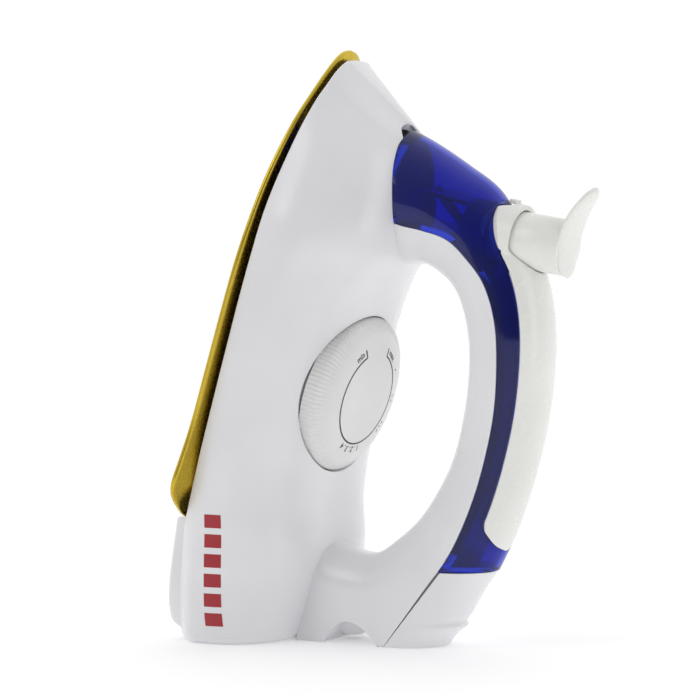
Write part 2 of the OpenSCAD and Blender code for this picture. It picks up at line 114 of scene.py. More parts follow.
def addMesh(name, points, faces, material, body="iron", slot=None, replaces=(), tidy=True, smooth=30):
    # faces is a list of index arrays, each with its own number of corners
    mesh = bpy.data.meshes.new(name)
    mesh.from_pydata(points.reshape(-1, 3).tolist(), [], [f for block in faces for f in block.tolist()])
    piece = bpy.data.objects.new(name, mesh)
    bpy.context.scene.collection.objects.link(piece)
    if tidy:
        tidyMesh(mesh)
    mesh.polygons.foreach_set("use_smooth", np.ones(len(mesh.polygons), bool))
    mesh.set_sharp_from_angle(angle=math.radians(smooth))
    mesh.materials.append(material)
    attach(piece, body)
    if replaces:
        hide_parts(*replaces)
    return piece


def tidyMesh(mesh):
    # doubled points at poles and seams are merged, empty faces go, and faces are turned outwards
    bm = bmesh.new()
    bm.from_mesh(mesh)
    bmesh.ops.remove_doubles(bm, verts=bm.verts, dist=2e-6)
    bmesh.ops.dissolve_degenerate(bm, edges=bm.edges, dist=1e-6)
    bmesh.ops.recalc_face_normals(bm, faces=bm.faces)
    bm.to_mesh(mesh)
    bm.free()


def trimSurface(surface, rows, columns, keep):
    # a grid over two parameters, cut off where keep(point) is below zero. Cells across the border are
    # split, and the new corners are moved along the cell's side by halving until keep is zero there
    r, c = np.meshgrid(rows, columns, indexing="ij")
    params = np.stack([r.ravel(), c.ravel()], -1)
    quads = gridFaces(len(rows), len(columns))
    tris = np.vstack([quads[:, [0, 1, 2]], quads[:, [0, 2, 3]]])
    inside = keep(surface(params[:, 0], params[:, 1])) > 0
    count = inside[tris].sum(1)
    whole, one, two = tris[count == 3], tris[count == 1], tris[count == 2]
    one = turnTo(one, inside[one])
    two = turnTo(two, ~inside[two])
    sides = np.vstack([one[:, [0, 1]], one[:, [0, 2]], two[:, [1, 0]], two[:, [2, 0]]])
    lo, hi = params[sides[:, 0]], params[sides[:, 1]]
    for _ in range(24):
        mid = (lo + hi) / 2
        good = (keep(surface(mid[:, 0], mid[:, 1])) > 0)[:, None]
        lo, hi = np.where(good, mid, lo), np.where(good, hi, mid)
    new = len(params) + np.arange(len(sides))
    a, b = new[:len(one)], new[len(one):2 * len(one)]
    c1, d1 = new[2 * len(one):2 * len(one) + len(two)], new[2 * len(one) + len(two):]
    made = np.vstack([whole, np.stack([one[:, 0], a, b], -1), np.stack([c1, two[:, 1], two[:, 2]], -1),
                      np.stack([c1, two[:, 2], d1], -1)])
    return np.vstack([params, lo]), made, lo


def turnTo(tris, mark):
    # each triangle turned so that its marked corner comes first
    first = np.argmax(mark, axis=1)[:, None]
    return np.take_along_axis(tris, (first + np.arange(3)[None, :]) % 3, axis=1)


def surfaceNormal(surface, r, c, stepR, stepC):
    # cross product of the surface's two directions, by small differences
    alongR = surface(r + stepR, c) - surface(r - stepR, c)
    alongC = surface(r, c + stepC) - surface(r, c - stepC)
    n = np.cross(alongR, alongC)
    return n / np.maximum(np.linalg.norm(n, axis=-1, keepdims=True), 1e-12)


# Materials
def linear(hexColour):
    # sRGB hex to the linear colour that shaders take
    parts = [int(hexColour[i:i + 2], 16) / 255 for i in (1, 3, 5)]
    return [p / 12.92 if p < 0.04045 else ((p + 0.055) / 1.055) ** 2.4 for p in parts] + [1.0]


def newMaterial(name):
    material = bpy.data.materials.new(name)
    material.use_nodes = True
    material.node_tree.nodes.clear()
    return material, material.node_tree


def addNode(tree, kind, settings=None, links=None):
    # settings go to the node's own fields or its sockets, links are {socket: (node, socket)}
    node = tree.nodes.new(kind)
    for key, value in (settings or {}).items():
        if key in node.inputs.keys():
            node.inputs[key].default_value = value
        else:
            setattr(node, key, value)
    for key, (source, socket) in (links or {}).items():
        tree.links.new(source.outputs[socket], node.inputs[key])
    return node


def mouldedPlastic(name, values):
    # injection moulded gloss plastic: a slow drift of shade from the sheet's cooling, a fine orange
    # peel in the gloss, and faint handling haze in the roughness
    material, tree = newMaterial(name)
    coords = addNode(tree, "ShaderNodeTexCoord")
    drift = addNode(tree, "ShaderNodeTexNoise", {"Scale": 1000 / values["driftMm"], "Detail": 2.0},
                    {"Vector": (coords, "Object")})
    ramp = addNode(tree, "ShaderNodeValToRGB", None, {"Fac": (drift, "Fac")})
    ramp.color_ramp.elements[0].position, ramp.color_ramp.elements[1].position = 0.35, 0.65
    ramp.color_ramp.elements[0].color = linear(values["shade"])
    ramp.color_ramp.elements[1].color = linear(values["colour"])
    haze = addNode(tree, "ShaderNodeTexNoise", {"Scale": 1000 / values["hazeMm"], "Detail": 4.0},
                   {"Vector": (coords, "Object")})
    rough = addNode(tree, "ShaderNodeMapRange", {"From Min": 0.3, "From Max": 0.7,
                    "To Min": values["roughness"] - values["hazeDepth"],
                    "To Max": values["roughness"] + values["hazeDepth"]}, {"Value": (haze, "Fac")})
    peel = addNode(tree, "ShaderNodeTexNoise", {"Scale": 1000 / values["peelMm"], "Detail": 1.0},
                   {"Vector": (coords, "Object")})
    bump = addNode(tree, "ShaderNodeBump", {"Strength": values["peel"], "Distance": 0.00005},
                   {"Height": (peel, "Fac")})
    shader = addNode(tree, "ShaderNodeBsdfPrincipled", {"IOR": values["ior"]},
                     {"Base Color": (ramp, "Color"), "Roughness": (rough, "Result"),
                      "Normal": (bump, "Normal")})
    addNode(tree, "ShaderNodeOutputMaterial", None, {"Surface": (shader, "BSDF")})
    return material


whiteValues = {"colour": "#ECECEE", "shade": "#E6E6E9", "driftMm": 45, "hazeMm": 6, "hazeDepth": 0.03,
               "roughness": 0.2, "peelMm": 1.6, "peel": 0.06, "ior": 1.53}
gripValues = dict(whiteValues, colour="#F0F0EC", shade="#EAEBE6", roughness=0.26, peel=0.02)
dialValues = dict(whiteValues, colour="#E9E9E8", shade="#E2E2E1", roughness=0.34, peelMm=0.9, peel=0.04)
ceramicValues = dict(whiteValues, colour="#D9D4C4", shade="#C9C3B2", roughness=0.45, peelMm=0.6, peel=0.3)

whiteAbs = mouldedPlastic("white ABS moulding", whiteValues)
gripAbs = mouldedPlastic("warm white ABS moulding", gripValues)
dialAbs = mouldedPlastic("satin white ABS moulding", dialValues)
steatite = mouldedPlastic("steatite and natural acetal", ceramicValues)
sealRubber = mouldedPlastic("black nitrile rubber", dict(whiteValues, colour="#1C1C1D", shade="#151516",
                            roughness=0.6, peelMm=0.5, peel=0.5))
leadSleeve = mouldedPlastic("orange silicone sleeve", dict(whiteValues, colour="#C46A2C", shade="#B35D24",
                            roughness=0.55, peelMm=0.7, peel=0.3))

tankValues = {"colour": "#1230C8", "ior": 1.47, "roughness": 0.06, "peelMm": 2.2, "peel": 0.1,
              "clear": 0.9}


def tintedAcrylic(name, values):
    # clear cobalt acrylic, polished mould: light passes through its 2 mm wall and takes the tint
    material, tree = newMaterial(name)
    coords = addNode(tree, "ShaderNodeTexCoord")
    peel = addNode(tree, "ShaderNodeTexNoise", {"Scale": 1000 / values["peelMm"], "Detail": 1.0},
                   {"Vector": (coords, "Object")})
    bump = addNode(tree, "ShaderNodeBump", {"Strength": values["peel"], "Distance": 0.00005},
                   {"Height": (peel, "Fac")})
    shader = addNode(tree, "ShaderNodeBsdfPrincipled", {"Base Color": linear(values["colour"]),
                     "IOR": values["ior"], "Roughness": values["roughness"],
                     "Transmission Weight": values["clear"]}, {"Normal": (bump, "Normal")})
    addNode(tree, "ShaderNodeOutputMaterial", None, {"Surface": (shader, "BSDF")})
    return material


tankBlue = tintedAcrylic("cobalt tinted acrylic", tankValues)

goldValues = {"colour": "#D9BE4A", "shade": "#C2A536", "roughness": 0.26, "brushMm": 0.35, "scratch": 0.08}


def coatedAluminium(name, values):
    # aluminium with a gold coloured baked coat: brushed along the sole before coating, so long faint
    # scratches stretch the gloss, and the coat pools a little darker in patches
    material, tree = newMaterial(name)
    coords = addNode(tree, "ShaderNodeTexCoord")
    along = addNode(tree, "ShaderNodeMapping", {"Rotation": (0, math.radians(stance["lean"]), 0),
                    "Scale": (1, 1, 0.04)}, {"Vector": (coords, "Object")})
    brush = addNode(tree, "ShaderNodeTexNoise", {"Scale": 1000 / values["brushMm"], "Detail": 3.0},
                    {"Vector": (along, "Vector")})
    pool = addNode(tree, "ShaderNodeTexNoise", {"Scale": 60.0, "Detail": 3.0},
                   {"Vector": (coords, "Object")})
    colour = addNode(tree, "ShaderNodeMix", {"data_type": "RGBA"}, {"Factor": (pool, "Fac")})
    colour.inputs[6].default_value = linear(values["shade"])
    colour.inputs[7].default_value = linear(values["colour"])
    rough = addNode(tree, "ShaderNodeMapRange", {"To Min": values["roughness"] - 0.06,
                    "To Max": values["roughness"] + 0.1}, {"Value": (brush, "Fac")})
    bump = addNode(tree, "ShaderNodeBump", {"Strength": values["scratch"], "Distance": 0.00004},
                   {"Height": (brush, "Fac")})
    shader = addNode(tree, "ShaderNodeBsdfPrincipled", {"Metallic": 1.0},
                     {"Roughness": (rough, "Result"), "Normal": (bump, "Normal")})
    tree.links.new(colour.outputs[2], shader.inputs["Base Color"])
    addNode(tree, "ShaderNodeOutputMaterial", None, {"Surface": (shader, "BSDF")})
    return material


goldSole = coatedAluminium("gold coated aluminium", goldValues)
zincSteel = coatedAluminium("zinc plated steel", {"colour": "#B9BBBD", "shade": "#A5A7AA",
                            "roughness": 0.34, "brushMm": 0.8, "scratch": 0.08})
copperStrip = coatedAluminium("copper alloy strip", {"colour": "#B8784A", "shade": "#A0653C",
                              "roughness": 0.36, "brushMm": 0.5, "scratch": 0.08})


def printedInk(name, hexColour, roughness=0.45):
    # pad printed ink: flat colour, slightly thinner in a fine mottle
    material, tree = newMaterial(name)
    coords = addNode(tree, "ShaderNodeTexCoord")
    mottle = addNode(tree, "ShaderNodeTexNoise", {"Scale": 2500.0, "Detail": 2.0},
                     {"Vector": (coords, "Object")})
    rough = addNode(tree, "ShaderNodeMapRange", {"To Min": roughness - 0.1, "To Max": roughness + 0.1},
                    {"Value": (mottle, "Fac")})
    shader = addNode(tree, "ShaderNodeBsdfPrincipled", {"Base Color": linear(hexColour)},
                     {"Roughness": (rough, "Result")})
    addNode(tree, "ShaderNodeOutputMaterial", None, {"Surface": (shader, "BSDF")})
    return material


blackInk = printedInk("black dial ink", "#2B2B33")
redInk = printedInk("red pad ink", "#A6262F")
print("materials made")

slotMaterials = {"gold_sole": goldSole, "white_abs": whiteAbs, "dial_white": dialAbs,
                 "grip_ivory": gripAbs, "tank_blue": tankBlue, "steel": zincSteel,
                 "ceramic": steatite, "copper": copperStrip, "seal_rubber": sealRubber, "lead_sleeve": leadSleeve}
slotOf = {row["node"]: row["material_slot"] for row in frame["record"]["subparts"]}
for nodeName, node in frame["nodes"].items():
    node.data.materials.clear()
    node.data.materials.append(slotMaterials[slotOf[nodeName]])

# The body
bodyShape = {
    "skirtHeight": 6.5, "wall": 2.5, "flank": 10.0, "footRound": 3.2, "noseStart": 170.0, "noseReach": 33.0,
    "noseWidth": 26.05, "facetEnd": 201.2,
    "skirtWidth": [[-56, 41], [-40, 45], [-20, 46.5], [-5, 46.8], [10, 47.8], [30, 48.7], [89, 48.7],
                   [113, 47.9], [136, 45.6], [158, 38.9], [178, 29.8], [195, 17], [201.5, 6], [203, 0.4]],
    "sideBulge": [[-56, 7], [-20, 4.8], [0, 3.6], [30, 2.4], [100, 1.6], [203, 0.2]],
    "topShift": [[-56, 12.7], [-20, 5.6], [20, 0], [98, 0], [136, -2.5], [158, -7], [178, -13],
                 [195, -19], [203, -21.5]],
    "topHeight": [[-42.3, 57.5], [-14, 58.3], [-2, 57], [14, 50], [35, 46], [64, 44], [98, 44.5],
                  [118, 49.5], [130, 56], [151, 55.5], [165, 51.5], [175, 47], [181.5, 44]],
    "fullness": [[-42, 2.7], [0, 2.5], [14, 2.5], [35, 2.5], [98, 2.4], [118, 2.2], [151, 2], [175, 1.9],
                 [181.5, 1.9]],
    # the nose's round outline takes over between two places, and its crest is drawn in between two others
    "noseBlend": (184, 195), "noseTaper": 0.75, "taperSpan": (192, 202.5), "tipRound": 0.5,
    # the skirt's edge rises behind riseFrom, and the flank takes this part of the way to the top
    "riseFrom": -6.0, "riseSlope": 0.2, "flankPart": 0.16,
}
dialPlace = {"along": 64.0, "seat": 38.8, "pocket": 35.3, "radius": 34.5, "base": 39.4, "height": 12.8}


def edgeHeight(e):
    # the skirt's edge: level along the sole, a straight rise behind it
    return bodyShape["skirtHeight"] + np.maximum(bodyShape["riseFrom"] - e, 0) * bodyShape["riseSlope"]


def bodySurface(e, u):
    # e is the section's place along the skirt, u runs from one edge (-1) over the top (0) to the other
    # (1). The section is a parabola up the flank, then a superellipse of the local fullness
    b = bodyShape
    h0 = edgeHeight(e)
    hc = h0 + b["flank"]
    nose = b["noseWidth"] * (1 - quarterDrop((e - b["noseStart"]) / b["noseReach"]))
    mix = easeStep(e, *b["noseBlend"])
    w0 = smoothTable(b["skirtWidth"], e) * (1 - mix) + nose * mix
    w0 = w0 * np.sqrt(np.clip((b["facetEnd"] + b["tipRound"] - e) / b["tipRound"], 0, 1))
    w1 = w0 + smoothTable(b["sideBulge"], e) * np.clip(w0 / 8, 0, 1)
    ta = e + smoothTable(b["topShift"], e)
    h1, p = smoothTable(b["topHeight"], ta), smoothTable(b["fullness"], ta)
    away = 1 - np.abs(u)
    part = b["flankPart"]
    flank = np.clip(away / part, 0, 1)
    v = np.clip((away - part) / (1 - part), 0, 1) * math.pi / 2
    radius = (np.cos(v) ** p + np.sin(v) ** p) ** (-1 / p)
    h = np.where(away < part, h0 + b["flank"] * flank, hc + (h1 - hc) * np.sin(v) * radius)
    y = np.where(away < part, w1 - (w1 - w0) * (1 - flank) ** 2, w1 * np.cos(v) * radius)
    y = y * (1 - b["noseTaper"] * easeStep(e, *b["taperSpan"]) * np.clip((h - h0) / (h1 - h0), 0, 1) ** 0.6)
    a = e + (ta - e) * (h - h0) / (h1 - h0)
    return np.stack([h, np.sign(u) * y, a], -1)


def heightOverTable(points):
    return stance["soleZ"] - points[..., 0] * leanSin + points[..., 2] * leanCos


handleShape = {
    "stations": [[46, 126, 38, 181, 20], [57, 126, 52, 178.5, 20], [64, 128.3, 69, 174, 19],
                 [72.6, 126.5, 86.4, 168, 18.2], [79.5, 123.3, 101, 155.5, 17.2],
                 [85.5, 117.5, 114.5, 143.5, 17], [91.5, 107.5, 124.5, 127, 17], [96.3, 94.5, 131, 107, 17],
                 [99.6, 77, 135.3, 82, 17], [100.6, 56, 136.3, 55.5, 17], [97.5, 39, 135, 33, 17],
                 [91.5, 22.5, 131.5, 13, 17.3], [83, 10.5, 127.5, -1, 18]],
    "seam": [[0, -10], [1, -9.2], [2, -7.4], [3, -4], [4, -1.6], [5, -0.2], [6, 0.7], [7, 1.1], [8, 2],
             [9, 2.4], [10, 3.4], [11, 4.8], [12, 6.2]],
    "coverAngle": [[3.3, 4], [3.4, 22], [3.6, 37.5], [4.1, 50], [4.8, 54], [9.9, 55], [10.1, 51],
                   [10.2, 43], [10.34, 26], [10.42, 4]],
    "coverFrom": 3.3, "coverTo": 10.42, "tankWall": 2.2,
}


def stationFrame(k):
    # middle of the section, its direction outwards, half depth and half width
    s = smoothRow(handleShape["stations"], k)
    middle = np.stack([s[..., 0] + s[..., 2], s[..., 1] + s[..., 3]], -1) / 2
    reach = np.stack([s[..., 2] - s[..., 0], s[..., 3] - s[..., 1]], -1)
    length = np.linalg.norm(reach, axis=-1)
    return middle, reach / length[..., None], length / 2, s[..., 4]


def handlePoint(k, x, y):
    # x is counted from the section's middle outwards, y across
    middle, out, _, _ = stationFrame(k)
    return np.stack([middle[..., 0] + out[..., 0] * x, y + 0 * k, middle[..., 1] + out[..., 1] * x], -1)


def handleEllipse(k, angle, inset=0.0):
    # ellipse round the section: angle 0 is the outer side, 180 the finger side
    _, _, p, q = stationFrame(k)
    return handlePoint(k, (p - inset) * np.cos(angle), (q - inset) * np.sin(angle))


def sectionAt(points, first, last):
    # the station whose plane holds each point, found by halving between two stations, the point's place
    # outwards from the section's middle, and the section's half depth and half width
    lo, hi = np.full(len(points), float(first)), np.full(len(points), float(last))
    for _ in range(26):
        mid = (lo + hi) / 2
        s = smoothRow(handleShape["stations"], mid)
        side = ((points[:, 0] - s[:, 0]) * (s[:, 3] - s[:, 1])
                - (points[:, 2] - s[:, 1]) * (s[:, 2] - s[:, 0]))
        lo, hi = np.where(side > 0, mid, lo), np.where(side > 0, hi, mid)
    middle, out, p, q = stationFrame(lo)
    return lo, ((points[:, [0, 2]] - middle) * out).sum(-1), p, q


def insideRoot(points, grow, shift=0.0, depth=None, width=None):
    # below zero inside the handle's section grown by grow, or inside an ellipse set off from its middle
    _, x, p, q = sectionAt(points, 0, 3)
    x = x - shift
    p = p + grow if depth is None else depth
    q = q + grow if width is None else width
    return ((x / p) ** 2 + (points[:, 1] / q) ** 2) ** 0.5 - 1


scoop = {"centre": 21.0, "reach": 9.5, "width": 10.5, "floor": 1.6}


def rootOpening(points):
    # the hole that the handle's root passes through, with the scoop under the nose's lip
    near = (points[:, 0] > 30) & (points[:, 2] > 110)
    recess = insideRoot(points, 0, scoop["centre"], scoop["reach"], scoop["width"])
    hole = np.minimum(insideRoot(points, 0.35), recess)
    return np.where(near, hole * 20, 5.0)


def dialOpening(points):
    across = np.hypot(points[:, 1], points[:, 2] - dialPlace["along"]) - dialPlace["pocket"]
    return np.where(points[:, 0] > 30, across, 5.0)


def bodySkin(e, u):
    # the body's surface, with its last millimetres over the table drawn inwards on a quarter circle
    points = bodySurface(e, u)
    normals = surfaceNormal(bodySurface, e, u, 0.05, 0.0005)
    r = bodyShape["footRound"]
    over = np.clip(heightOverTable(points), 0, r)
    move = np.where(e < -20, r * quarterDrop(1 - over / r), 0)
    nx = normals[..., 0] * leanCos + normals[..., 2] * leanSin
    size = np.maximum(np.hypot(nx, normals[..., 1]), 1e-9)
    towards = points[..., 1] * normals[..., 1] + (points[..., 0] - 30) * normals[..., 0]
    nx, ny = nx / size * np.sign(towards), normals[..., 1] / size * np.sign(towards)
    return points - np.stack([nx * leanCos * move, ny * move, nx * leanSin * move], -1)


def footHeight(points):
    return heightOverTable(points) - 0.02


def bodyKeep(points):
    return np.minimum(np.minimum(rootOpening(points), dialOpening(points)), footHeight(points))


# rows close up towards the nose's tip, and columns on the flank
noseStart, noseReach = bodyShape["noseStart"], bodyShape["noseReach"]
noseTurn = np.linspace(math.asin(12 / noseReach), math.asin((bodyShape["facetEnd"] - noseStart) / noseReach), 30)
bodyRows = np.concatenate([np.linspace(-60, -44, 80), np.linspace(-43.5, 181, 180),
                           noseStart + noseReach * np.sin(noseTurn),
                           bodyShape["facetEnd"] + bodyShape["tipRound"] * np.sin(np.linspace(0.2, math.pi / 2, 8))])
flankColumns = np.linspace(0, bodyShape["flankPart"], 9)
halfColumns = np.concatenate([-1 + flankColumns[:-1], np.linspace(bodyShape["flankPart"] - 1, 0, 62)])
bodyColumns = np.concatenate([halfColumns, -halfColumns[-2::-1]])
params, tris, border = trimSurface(bodySkin, bodyRows, bodyColumns, bodyKeep)
bodyPoints = bodySkin(params[:, 0], params[:, 1])


def rolledEdge(points, normals, inward, radius, depth):
    # quarter round from the surface over into the hole, then a wall straight down, as a grid of rings
    turn = np.linspace(0, math.pi / 2, 6)[:, None, None]
    quarter = points + inward * radius * np.sin(turn) - normals * radius * (1 - np.cos(turn))
    wall = quarter[-1] - np.array([depth, 0, 0])
    return np.concatenate([quarter, wall[None]])


def edgeRing(surface, border, centre, stepR, stepC, outward):
    # border points in order of their angle round the hole, with the normal and the way into the hole
    points = surface(border[:, 0], border[:, 1])
    normals = surfaceNormal(surface, border[:, 0], border[:, 1], stepR, stepC)
    normals = normals * np.sign((normals * outward).sum(-1, keepdims=True))
    order = np.argsort(np.arctan2(points[:, 1] - centre[1], points[:, 2] - centre[2]))
    points, normals = points[order], normals[order]
    along = np.roll(points, -1, 0) - np.roll(points, 1, 0)
    inward = np.cross(normals, along)
    inward = inward / np.maximum(np.linalg.norm(inward, axis=-1, keepdims=True), 1e-9)
    inward = inward * np.sign((inward * (np.array(centre) - points)).sum(-1, keepdims=True))
    return points, normals, inward


blocks, meshPoints = [], []


def collect(points, faces):
    # gathers the surfaces of one moulding
    blocks.append(faces + sum(len(p) for p in meshPoints))
    meshPoints.append(points.reshape(-1, 3))


def finishMoulding(name, material, **options):
    piece = addMesh(name, standUp(np.vstack(meshPoints)), list(blocks), material, **options)
    blocks.clear()
    meshPoints.clear()
    return piece


collect(bodyPoints, tris)
borderPoints = bodySurface(border[:, 0], border[:, 1])
outUp = np.array([1.0, 0, 0])
for test, centre, edgeRadius, wallDepth in ((dialOpening, (40, 0, dialPlace["along"]), 0.4, 1.6),
                                            (rootOpening, (50, 0, 152), 0.9, scoop["floor"])):
    chosen = border[np.abs(test(borderPoints)) < 0.02]
    ring = edgeRing(bodySurface, chosen, centre, 0.05, 0.0005, outUp)
    rings = rolledEdge(*ring, edgeRadius, wallDepth)
    foot = rings[-1]
    if test is dialOpening:
        # floor under the dial, dished at the sides where the body's face is lower
        dished, level = np.minimum(foot[:, 0] - 0.2, dialPlace["seat"]), dialPlace["seat"] + 0 * foot[:, 0]
        pocket = [np.stack([height, foot[:, 1] * size, centre[2] + (foot[:, 2] - centre[2]) * size], -1)
                  for height, size in ((dished, 0.98), (level, 0.86), (level, 0.12))]
        rings = np.concatenate([rings, pocket])
    if test is rootOpening:
        # floor of the scoop: from the wall's foot inwards to just under the tank
        angle = np.arctan2(foot[:, 1] / 20, (foot[:, 2] - 153.5) / 27.8)
        under = handleEllipse(np.full(len(foot), 0.0), angle, 1.2)
        under[:, 0] = foot[:, 0] - 0.5
        rings = np.concatenate([rings, under[None]])
    collect(rings, gridFaces(len(rings), rings.shape[1], closeColumns=True))

# skirt's turned edge: half round under the rim, then the wall's inner face
skirtRows = bodyRows[bodyRows > -52]
turn = np.linspace(0, math.pi, 9)[:, None]
for side in (-1, 1):
    edge = bodySurface(skirtRows, side + 0 * skirtRows)
    half = bodyShape["wall"] / 2
    y = np.abs(edge[:, 1])[None, :] - half + half * np.cos(turn)
    h = edge[:, 0][None, :] - 0.9 * np.sin(turn)
    strip = np.stack([h, side * np.maximum(y, 0), np.broadcast_to(edge[:, 2], h.shape)], -1)
    rise = 8.0 * (1 - easeStep(skirtRows, 186, 199))
    back = smoothTable(bodyShape["topShift"], skirtRows) / 38 * rise
    inner = strip[-1] + np.stack([rise, -side * 0.35 * rise * easeStep(skirtRows, 150, 190), back], -1)
    strip = np.concatenate([strip, inner[None]])
    collect(strip, gridFaces(len(strip), strip.shape[1]))


def lineAtTable(u):
    # place along the skirt at which the line u of the body meets the table
    lo, hi = np.full(u.shape, -62.0), np.full(u.shape, -20.0)
    for _ in range(30):
        mid = (lo + hi) / 2
        above = heightOverTable(bodySurface(mid, u)) > 0.03
        lo, hi = np.where(above, lo, mid), np.where(above, mid, hi)
    return bodySkin(hi, u)


# flat base: the ring at the table, and rings drawn in to its middle
base = lineAtTable(bodyColumns)
baseDepth = 12
baseCentre = np.array([base[:, 0].min() + baseDepth, 0,
                       base[[0, -1], 2].mean() + baseDepth * leanSin / leanCos])
rings = np.stack([base * (1 - f) + baseCentre * f for f in (0, 0.06, 0.3, 0.65, 1.0)])
collect(rings, gridFaces(len(rings), rings.shape[1]))
finishMoulding("body_moulding", whiteAbs, slot="white_abs", replaces=["body_shell"], smooth=35)

print("body made")


# The handle's inner half and the heel
heelShape = {
    # finger-side line and far end of the sections below the handle, then the half width
    "inner": [[12, 83, 9], [12.6, 78.6, 4.4], [13.2, 73.5, 1.6], [14, 67.4, 0.3], [15, 60, 0.3],
              [16, 52, 1.6]],
    "halfWidth": 18.0, "crown": 17.0, "crownPart": 0.62, "crownPower": 2.25,
    "footStart": 0.3, "footEnd": -42.5, "slideX": 22.0, "slideZ": 28.3, "capTop": 33.0,
}


def innerHalf(k, c):
    # c from -1 at one seam over the finger side (0) to the other seam (1). Up to station 12 the line is
    # the section's ellipse. Below, the ends slide down the rear cap's face and along the table, and
    # the section is a round crown with flat sides
    t = np.abs(c)
    upper = np.minimum(k, 12.0)
    _, _, p, q = stationFrame(upper)
    seam = smoothTable(handleShape["seam"], upper) - 0.15
    last = np.arccos(np.clip(seam / p, -1, 1))
    angle = math.pi - (math.pi - last) * t
    ellipse = handlePoint(upper, p * np.cos(angle), q * np.sin(angle))
    table = np.asarray(heelShape["inner"], float)
    innerH = smoothTable(table[:, [0, 1]], k)
    innerA = smoothTable(table[:, [0, 2]], k)
    drop = np.clip((k - 12) / 1.2, 0, 1)
    slide = np.clip((k - 13.2) / 2.8, 0, 1)
    start, end, slideX = heelShape["footStart"], heelShape["footEnd"], heelShape["slideX"]
    endX = np.where(k < 13.2, slideX + (start - slideX) * drop, start + (end - start) * slide)
    endZ = np.where(k < 13.2, heelShape["slideZ"] * (1 - drop), 0.0)
    endH, endA = layDown(endX, endZ)
    reach = np.hypot(endH - innerH, endA - innerA)
    crown = np.minimum(heelShape["crown"], reach * 0.8)
    bend, power = heelShape["crownPart"], heelShape["crownPower"]
    part = np.clip(t / bend, 0, 1) * math.pi / 2
    radius = (np.cos(part) ** power + np.sin(part) ** power) ** (-1 / power)
    deep = np.where(t < bend, crown * (1 - np.cos(part) * radius),
                    crown + (reach - crown) * (t - bend) / (1 - bend))
    wide = np.where(t < bend, heelShape["halfWidth"] * np.sin(part) * radius, heelShape["halfWidth"])
    f = deep / reach
    block = np.stack([innerH + (endH - innerH) * f, wide, innerA + (endA - innerA) * f], -1)
    blend = easeStep(k, 10.6, 12.9)[..., None]
    ellipse[..., 1] = np.abs(ellipse[..., 1])
    made = ellipse * (1 - blend) + block * blend
    made[..., 1] = made[..., 1] * np.sign(c)
    return made


groove = {"from": -29.8, "to": -2.3, "rise": 9.6, "peak": -17.5}


def archHeight(x):
    # height of the cord groove's roof: two easy cosine ramps up to the peak
    left = np.clip((x - groove["from"]) / (groove["peak"] - groove["from"]), 0, 1)
    right = np.clip((groove["to"] - x) / (groove["to"] - groove["peak"]), 0, 1)
    return groove["rise"] * np.sin(np.minimum(left, right) * math.pi / 2) ** 0.9


def heelKeep(points):
    world = standUp(points) * 1000
    return world[..., 2] - archHeight(world[..., 0]) - 0.001


handleRows = np.concatenate([np.linspace(0.25, 11, 150), np.linspace(11.03, 13.2, 50),
                             np.linspace(13.25, 16, 40)])
handleColumns = np.linspace(-1, 1, 121)
params, tris, border = trimSurface(innerHalf, handleRows, handleColumns, heelKeep)
collect(innerHalf(params[:, 0], params[:, 1]), tris)
# the groove's roof and the flat feet: one line through all, carried across
footX = np.concatenate([np.linspace(heelShape["footEnd"], groove["from"], 6),
                        np.linspace(groove["from"] + 0.2, groove["to"] - 0.2, 50),
                        np.linspace(groove["to"], heelShape["footStart"], 5)])
footH, footA = layDown(footX, archHeight(footX))
footY = heelShape["halfWidth"] * np.array([-1, -0.9995, 0.9995, 1])
strip = np.stack(np.broadcast_arrays(footH[:, None], footY[None, :], footA[:, None]), -1)
collect(strip, gridFaces(len(footX), len(footY)))
# closing face behind the tank and the rear cap, set back a little from the seam
seamK = np.concatenate([np.linspace(0.25, 11, 100), np.linspace(11.05, 13.2, 30)])
seamEdge = innerHalf(seamK, np.ones_like(seamK))
face = np.stack([seamEdge * [1, f, 1] for f in np.linspace(-1, 1, 5)], 1)
collect(face, gridFaces(len(seamK), 5))
finishMoulding("handle_and_heel", whiteAbs, slot="white_abs", replaces=["handle_inner"], smooth=35)
print("handle made")

# The tank
tankRows = np.unique(np.concatenate([np.linspace(0.25, 3.28, 60), np.linspace(3.28, 3.8, 40),
                                     np.linspace(3.8, 9.9, 120), np.linspace(9.9, 10.46, 40),
                                     np.linspace(10.46, 12.0, 30)]))
tankFloor = heelShape["capTop"] + 0.35


def tankRing(k, c, inset):
    # c from -1 at one seam over the outer side to the other seam. Under the grip cover the outer side
    # is cut flat, so the arc stops at the cover's angle
    _, _, p, q = stationFrame(k)
    seam = smoothTable(handleShape["seam"], k) + 0.15 + inset
    under = (k > handleShape["coverFrom"]) & (k < handleShape["coverTo"])
    chord = np.where(under, p * np.cos(np.radians(smoothTable(handleShape["coverAngle"], k))) - 0.45, p)
    top = np.minimum(chord - inset, (p - inset) * 0.9999)
    first = np.arccos(np.clip(top / (p - inset), -1, 1))
    last = np.arccos(np.clip(seam / (p - inset), -1, 1))
    angle = first + (last - first) * np.abs(c)
    return handlePoint(k, (p - inset) * np.cos(angle), np.sign(c) * (q - inset) * np.sin(angle))


def tankShell(inset, floor):
    # rings closed by the flat back and, under the cover, by the flat front; rows past the floor level
    # are pulled back to it along the handle
    side = np.linspace(1e-9, 1, 40)
    columns = np.concatenate([-side[::-1], side])
    k = np.broadcast_to(tankRows[:, None], (len(tankRows), len(columns)))
    c = np.broadcast_to(columns[None, :], k.shape)
    lo, hi = np.full(k.shape, 9.0), np.full(k.shape, 12.0)
    for _ in range(30):
        mid = (lo + hi) / 2
        above = heightOverTable(tankRing(mid, c, inset)) > floor
        lo, hi = np.where(above, mid, lo), np.where(above, hi, mid)
    return tankRing(np.minimum(k, lo), c, inset)


